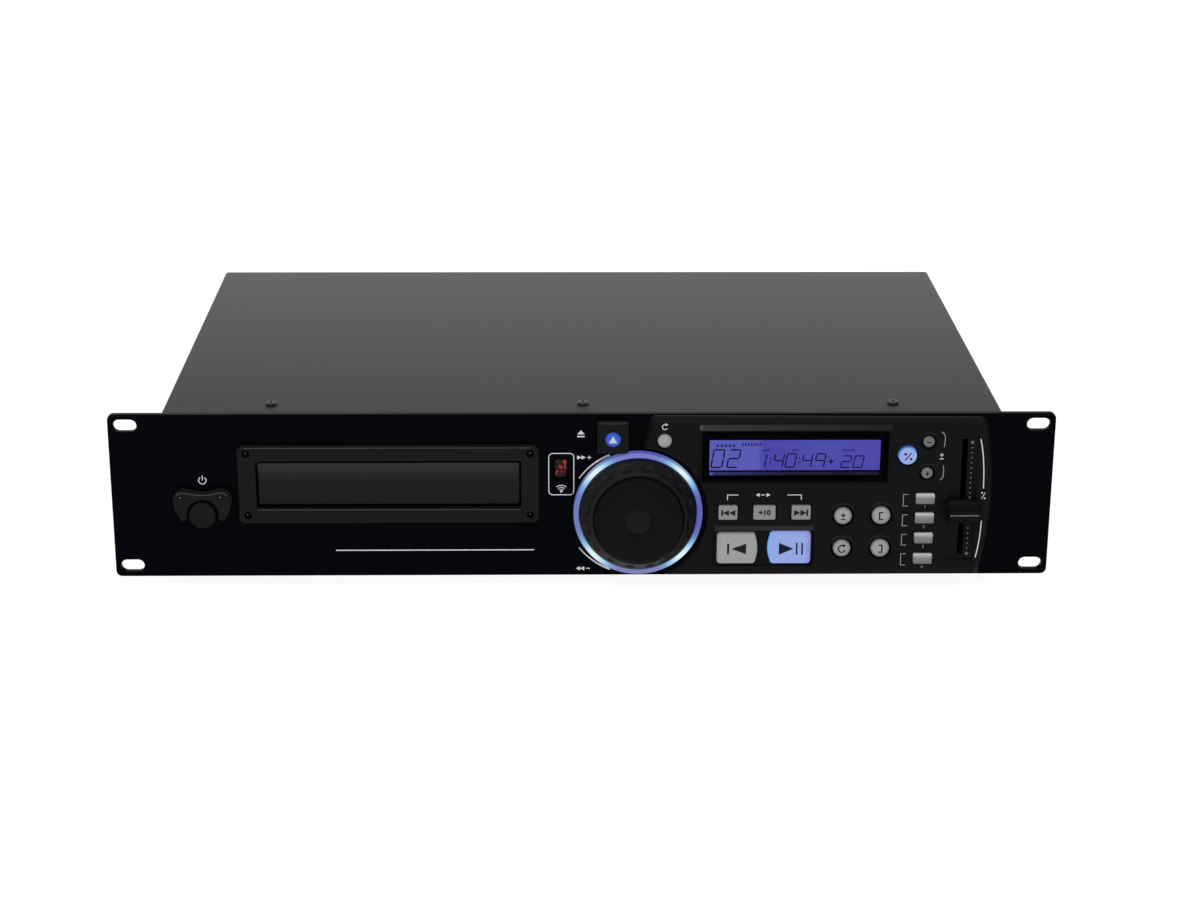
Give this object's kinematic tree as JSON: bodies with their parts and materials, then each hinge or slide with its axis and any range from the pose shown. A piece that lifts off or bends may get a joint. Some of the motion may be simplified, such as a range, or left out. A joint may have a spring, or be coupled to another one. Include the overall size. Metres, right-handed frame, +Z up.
{
  "type": "rack-mount disc player",
  "caption": "Rack-mount disc player with a sliding tray, jog dial in a sprung shuttle ring, lit display, push keys, pitch fader, rack ears and rubber feet.",
  "frame": {"origin": "middle of the footprint, on the surface under the feet", "axes": "+X to the right along the front panel, +Y from the front to the rear, +Z up; the front faces -Y"},
  "size_m": [0.4826, 0.3012, 0.0944],
  "materials": {
    "panel_black": "smooth black powder coat on the rack panel, low gloss",
    "cover_paint": "fine-textured black-grey paint on folded sheet steel",
    "fascia_plastic": "matt dark grey moulded plastic, fine spark texture",
    "bezel_plastic": "matt black-grey moulded plastic",
    "black_plastic": "satin black moulded plastic",
    "dial_plastic": "soft-touch dark grey plastic",
    "ring_glow": "milky light guide, lit violet-blue from behind",
    "smoked_pane": "clear smoked acrylic display window",
    "screen_glow": "display lit blue-violet with dark segments",
    "key_grey": "light grey silicone-feel plastic with dark symbols",
    "key_glow": "translucent key lit lavender from behind",
    "eject_glow": "clear round lens lit blue",
    "sensor_red": "dark red infrared window",
    "rubber": "matt black rubber",
    "zinc_sheet": "bare zinc-plated sheet steel",
    "steel": "plain steel cans and frames",
    "board_green": "green solder mask with components",
    "white_plastic": "natural white acetal",
    "connector_black": "black moulded connector bodies"
  },
  "bodies": {
    "case": {"front_panel": "panel_black", "control_fascia": "fascia_plastic", "tray_bezel": "bezel_plastic", "top_cover": "cover_paint", "chassis_base": "zinc_sheet", "rear_panel": "cover_paint", "foot_front_left": "rubber", "foot_front_right": "rubber", "foot_rear_left": "rubber", "foot_rear_right": "rubber", "power_guard": "black_plastic", "power_switch": "connector_black", "sensor_window": "sensor_red", "jog_light_ring": "ring_glow", "jog_hub": "connector_black", "lcd_window": "smoked_pane", "lcd_module": "screen_glow", "pitch_fader_body": "steel", "loader_frame": "black_plastic", "loader_motor": "steel", "drive_belt": "rubber", "clamp_bridge": "zinc_sheet", "main_board": "board_green", "control_board": "board_green", "power_supply": "board_green", "output_jacks": "connector_black", "mains_inlet": "connector_black"},
    "disc_tray": {"disc_tray": "black_plastic", "tray_front": "bezel_plastic"},
    "tray_drive_gear": {"tray_drive_gear": "white_plastic"},
    "motor_pulley": {"motor_pulley": "white_plastic"},
    "traverse": {"traverse_deck": "zinc_sheet", "spindle_motor": "steel"},
    "turntable": {"turntable": "black_plastic"},
    "laser_sled": {"laser_sled": "black_plastic"},
    "sled_pinion": {"sled_pinion": "white_plastic"},
    "disc_clamp": {"disc_clamp": "white_plastic"},
    "jog_dial": {"jog_dial": "dial_plastic"},
    "shuttle_ring": {"shuttle_ring": "dial_plastic"},
    "pitch_fader": {"pitch_fader_knob": "black_plastic"},
    "power_button": {"power_button": "black_plastic"},
    "eject_button": {"eject_button": "black_plastic", "eject_lens": "eject_glow"},
    "key_search_back": {"key_search_back": "key_grey"},
    "key_skip_ten": {"key_skip_ten": "key_grey"},
    "key_search_forward": {"key_search_forward": "key_grey"},
    "key_cue": {"key_cue": "key_grey"},
    "key_play_pause": {"key_play_pause": "key_glow"},
    "key_jog_mode": {"key_jog_mode": "key_grey"},
    "key_pitch_lock": {"key_pitch_lock": "key_glow"},
    "key_bend_minus": {"key_bend_minus": "key_grey"},
    "key_bend_plus": {"key_bend_plus": "key_grey"},
    "key_pitch_range": {"key_pitch_range": "key_grey"},
    "key_loop_in": {"key_loop_in": "key_grey"},
    "key_reloop": {"key_reloop": "key_grey"},
    "key_loop_out": {"key_loop_out": "key_grey"},
    "key_time": {"key_time": "key_grey"},
    "key_single": {"key_single": "key_grey"},
    "key_program": {"key_program": "key_grey"},
    "key_repeat": {"key_repeat": "key_grey"}
  },
  "joints": [
    {"name": "tray_slide", "type": "slide", "parent": "case", "child": "disc_tray", "axis": [0, -1, 0], "range_m": [0, 0.138]},
    {"name": "tray_gear_turn", "type": "hinge", "parent": "case", "child": "tray_drive_gear", "pos_m": [-0.14385, -0.10537, 0.04625], "axis": [0, 0, 1], "range_deg": [-5, 665]},
    {"name": "motor_pulley_turn", "type": "hinge", "parent": "case", "child": "motor_pulley", "pos_m": [-0.08685, -0.10537, 0.03125], "axis": [0, 0, 1], "range_deg": [-5, 1780]},
    {"name": "traverse_tilt", "type": "hinge", "parent": "case", "child": "traverse", "pos_m": [-0.09935, 0.01463, 0.03725], "axis": [1, 0, 0], "range_deg": [-0.1, 4.1]},
    {"name": "turntable_spin", "type": "hinge", "parent": "traverse", "child": "turntable", "pos_m": [-0.09935, -0.06538, 0.04625], "axis": [0, 0, 1], "continuous": true},
    {"name": "sled_slide", "type": "slide", "parent": "traverse", "child": "laser_sled", "axis": [0, 1, 0], "range_m": [0, 0.034]},
    {"name": "sled_pinion_turn", "type": "hinge", "parent": "traverse", "child": "sled_pinion", "pos_m": [-0.06835, -0.02937, 0.04225], "axis": [0, 0, 1], "range_deg": [-330, 5]},
    {"name": "clamp_spin", "type": "hinge", "parent": "case", "child": "disc_clamp", "pos_m": [-0.09935, -0.06538, 0.05625], "axis": [0, 0, 1], "continuous": true},
    {"name": "jog_turn", "type": "hinge", "parent": "case", "child": "jog_dial", "pos_m": [0.0282, -0.13537, 0.04135], "axis": [0, 1, 0], "continuous": true},
    {"name": "shuttle_turn", "type": "hinge", "parent": "case", "child": "shuttle_ring", "pos_m": [0.0282, -0.13537, 0.04135], "axis": [0, 1, 0], "range_deg": [-60, 60], "stiffness_Nm_per_rad": 0.02},
    {"name": "fader_slide", "type": "slide", "parent": "case", "child": "pitch_fader", "axis": [0, 0, 1], "range_m": [-0.0223, 0.036]},
    {"name": "power_press", "type": "slide", "parent": "case", "child": "power_button", "axis": [0, 1, 0], "range_m": [0, 0.003], "stiffness_N_per_m": 250},
    {"name": "eject_press", "type": "slide", "parent": "case", "child": "eject_button", "axis": [0, 1, 0], "range_m": [0, 0.0008], "stiffness_N_per_m": 250},
    {"name": "search_back_press", "type": "slide", "parent": "case", "child": "key_search_back", "axis": [0, 1, 0], "range_m": [0, 0.0008], "stiffness_N_per_m": 200},
    {"name": "skip_ten_press", "type": "slide", "parent": "case", "child": "key_skip_ten", "axis": [0, 1, 0], "range_m": [0, 0.0008], "stiffness_N_per_m": 200},
    {"name": "search_forward_press", "type": "slide", "parent": "case", "child": "key_search_forward", "axis": [0, 1, 0], "range_m": [0, 0.0008], "stiffness_N_per_m": 200},
    {"name": "cue_press", "type": "slide", "parent": "case", "child": "key_cue", "axis": [0, 1, 0], "range_m": [0, 0.0008], "stiffness_N_per_m": 200},
    {"name": "play_pause_press", "type": "slide", "parent": "case", "child": "key_play_pause", "axis": [0, 1, 0], "range_m": [0, 0.0008], "stiffness_N_per_m": 200},
    {"name": "jog_mode_press", "type": "slide", "parent": "case", "child": "key_jog_mode", "axis": [0, 1, 0], "range_m": [0, 0.0008], "stiffness_N_per_m": 200},
    {"name": "pitch_lock_press", "type": "slide", "parent": "case", "child": "key_pitch_lock", "axis": [0, 1, 0], "range_m": [0, 0.0008], "stiffness_N_per_m": 200},
    {"name": "bend_minus_press", "type": "slide", "parent": "case", "child": "key_bend_minus", "axis": [0, 1, 0], "range_m": [0, 0.0008], "stiffness_N_per_m": 200},
    {"name": "bend_plus_press", "type": "slide", "parent": "case", "child": "key_bend_plus", "axis": [0, 1, 0], "range_m": [0, 0.0008], "stiffness_N_per_m": 200},
    {"name": "pitch_range_press", "type": "slide", "parent": "case", "child": "key_pitch_range", "axis": [0, 1, 0], "range_m": [0, 0.0008], "stiffness_N_per_m": 200},
    {"name": "loop_in_press", "type": "slide", "parent": "case", "child": "key_loop_in", "axis": [0, 1, 0], "range_m": [0, 0.0008], "stiffness_N_per_m": 200},
    {"name": "reloop_press", "type": "slide", "parent": "case", "child": "key_reloop", "axis": [0, 1, 0], "range_m": [0, 0.0008], "stiffness_N_per_m": 200},
    {"name": "loop_out_press", "type": "slide", "parent": "case", "child": "key_loop_out", "axis": [0, 1, 0], "range_m": [0, 0.0008], "stiffness_N_per_m": 200},
    {"name": "time_press", "type": "slide", "parent": "case", "child": "key_time", "axis": [0, 1, 0], "range_m": [0, 0.0008], "stiffness_N_per_m": 200},
    {"name": "single_press", "type": "slide", "parent": "case", "child": "key_single", "axis": [0, 1, 0], "range_m": [0, 0.0008], "stiffness_N_per_m": 200},
    {"name": "program_press", "type": "slide", "parent": "case", "child": "key_program", "axis": [0, 1, 0], "range_m": [0, 0.0008], "stiffness_N_per_m": 200},
    {"name": "repeat_press", "type": "slide", "parent": "case", "child": "key_repeat", "axis": [0, 1, 0], "range_m": [0, 0.0008], "stiffness_N_per_m": 200}
  ],
  "couplings": [
    {"joint": "tray_gear_turn", "follows": "tray_slide", "rad_per_m": 83.333},
    {"joint": "motor_pulley_turn", "follows": "tray_slide", "rad_per_m": 224.36},
    {"joint": "traverse_tilt", "follows": "tray_slide", "rad_per_m": 0.50589},
    {"joint": "sled_pinion_turn", "follows": "sled_slide", "rad_per_m": -166.67},
    {"joint": "clamp_spin", "follows": "turntable_spin", "ratio": 1}
  ]
}
